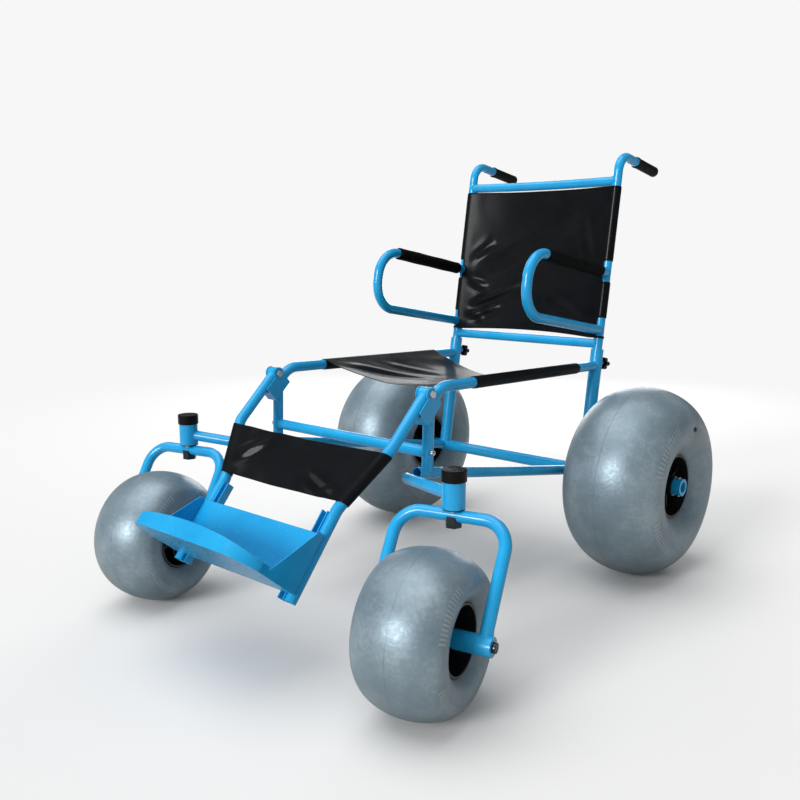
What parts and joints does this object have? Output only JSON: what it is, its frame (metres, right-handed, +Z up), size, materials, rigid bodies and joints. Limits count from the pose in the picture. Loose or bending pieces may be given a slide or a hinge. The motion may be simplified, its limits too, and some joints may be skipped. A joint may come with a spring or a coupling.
{
  "type": "beach wheelchair",
  "caption": "Beach wheelchair: bent tube frame with sling seat and back, balloon wheels, swivelling front casters, hinged leg rest with foot pan, and a back that lifts off.",
  "frame": {"origin": "on the floor, under the middle of the part's bounding box; the chair's own middle plane lies 23.7 mm to the sitter's right of it, because both casters stand turned to the left", "axes": "+Z up, +X towards the sitter's left, the chair faces -Y"},
  "size_m": [1.1248, 1.5035, 1.1005],
  "materials": {
    "blue_powder_coat": "glossy bright blue powder coat",
    "bright_steel": "bright plated steel",
    "black_plastic": "satin moulded plastic",
    "black_cover": "coated cloth with a soft gloss",
    "black_foam": "matt closed-cell foam",
    "black_grip": "matt moulded rubber",
    "grey_tyre": "satin moulded skin with a dusty mottle"
  },
  "bodies": {
    "frame": {"axle_tube": "blue_powder_coat", "axle_stops": "bright_steel", "axle_collars": "blue_powder_coat", "cotter_pins": "bright_steel", "rail_l": "blue_powder_coat", "rail_r": "blue_powder_coat", "side_l": "blue_powder_coat", "side_r": "blue_powder_coat", "cross_tube": "blue_powder_coat", "cross_bolts": "bright_steel", "outrigger_l": "blue_powder_coat", "outrigger_r": "blue_powder_coat", "head_l": "blue_powder_coat", "head_r": "blue_powder_coat", "head_bushes": "black_plastic", "head_caps": "black_plastic", "socket_l": "blue_powder_coat", "socket_r": "blue_powder_coat", "liners": "black_plastic", "bracket_l": "blue_powder_coat", "bracket_r": "blue_powder_coat", "pivot_bolts": "bright_steel", "seat_sling": "black_cover"},
    "backrest": {"post_l": "blue_powder_coat", "post_r": "blue_powder_coat", "top_bar": "blue_powder_coat", "low_bar": "blue_powder_coat", "arm_l": "blue_powder_coat", "arm_r": "blue_powder_coat", "foam_l": "black_foam", "foam_r": "black_foam", "grip_l": "black_grip", "grip_r": "black_grip", "back_sling": "black_cover", "back_hems": "black_cover"},
    "knob_l": {"knob_l": "black_plastic"},
    "knob_r": {"knob_r": "black_plastic"},
    "caster_l": {"fork_l": "blue_powder_coat", "stem_l": "bright_steel", "crown_nut_l": "bright_steel", "front_axle_l": "bright_steel"},
    "caster_r": {"fork_r": "blue_powder_coat", "stem_r": "bright_steel", "crown_nut_r": "bright_steel", "front_axle_r": "bright_steel"},
    "front_wheel_l": {"front_tyre_l": "grey_tyre", "front_hub_l": "black_plastic"},
    "front_wheel_r": {"front_tyre_r": "grey_tyre", "front_hub_r": "black_plastic"},
    "rear_wheel_l": {"rear_tyre_l": "grey_tyre", "rear_hub_l": "black_plastic"},
    "rear_wheel_r": {"rear_tyre_r": "grey_tyre", "rear_hub_r": "black_plastic"},
    "leg_rest": {"leg_l": "blue_powder_coat", "leg_r": "blue_powder_coat", "channel_l": "blue_powder_coat", "channel_r": "blue_powder_coat", "foot_pan": "blue_powder_coat", "gussets": "blue_powder_coat", "calf_strap": "black_cover"}
  },
  "joints": [
    {"name": "rear_wheel_l_spin", "type": "hinge", "parent": "frame", "child": "rear_wheel_l", "pos_m": [0.3823, 0.396, 0.245], "axis": [1, 0, 0], "continuous": true},
    {"name": "caster_l_swivel", "type": "hinge", "parent": "frame", "child": "caster_l", "pos_m": [0.3963, -0.421, 0.39], "axis": [0, 0, 1], "continuous": true},
    {"name": "front_wheel_l_spin", "type": "hinge", "parent": "caster_l", "child": "front_wheel_l", "pos_m": [0.42329, -0.53792, 0.155], "axis": [0.9744, 0.225, 0], "continuous": true},
    {"name": "knob_l_turn", "type": "hinge", "parent": "frame", "child": "knob_l", "pos_m": [0.2173, 0.44383, 0.53708], "axis": [0, 0.9869, -0.1616], "range_deg": [0, 720]},
    {"name": "rear_wheel_r_spin", "type": "hinge", "parent": "frame", "child": "rear_wheel_r", "pos_m": [-0.4297, 0.396, 0.245], "axis": [1, 0, 0], "continuous": true},
    {"name": "caster_r_swivel", "type": "hinge", "parent": "frame", "child": "caster_r", "pos_m": [-0.4437, -0.421, 0.39], "axis": [0, 0, 1], "continuous": true},
    {"name": "front_wheel_r_spin", "type": "hinge", "parent": "caster_r", "child": "front_wheel_r", "pos_m": [-0.41671, -0.53792, 0.155], "axis": [0.9744, 0.225, 0], "continuous": true},
    {"name": "knob_r_turn", "type": "hinge", "parent": "frame", "child": "knob_r", "pos_m": [-0.2647, 0.44383, 0.53708], "axis": [0, 0.9869, -0.1616], "range_deg": [0, 720]},
    {"name": "leg_rest_raise", "type": "hinge", "parent": "frame", "child": "leg_rest", "pos_m": [-0.0237, -0.288, 0.54097], "axis": [-1, 0, 0], "range_deg": [0, 90]},
    {"name": "backrest_lift", "type": "slide", "parent": "frame", "child": "backrest", "axis": [0, 0.1616, 0.9869], "range_m": [0, 0.134]}
  ]
}
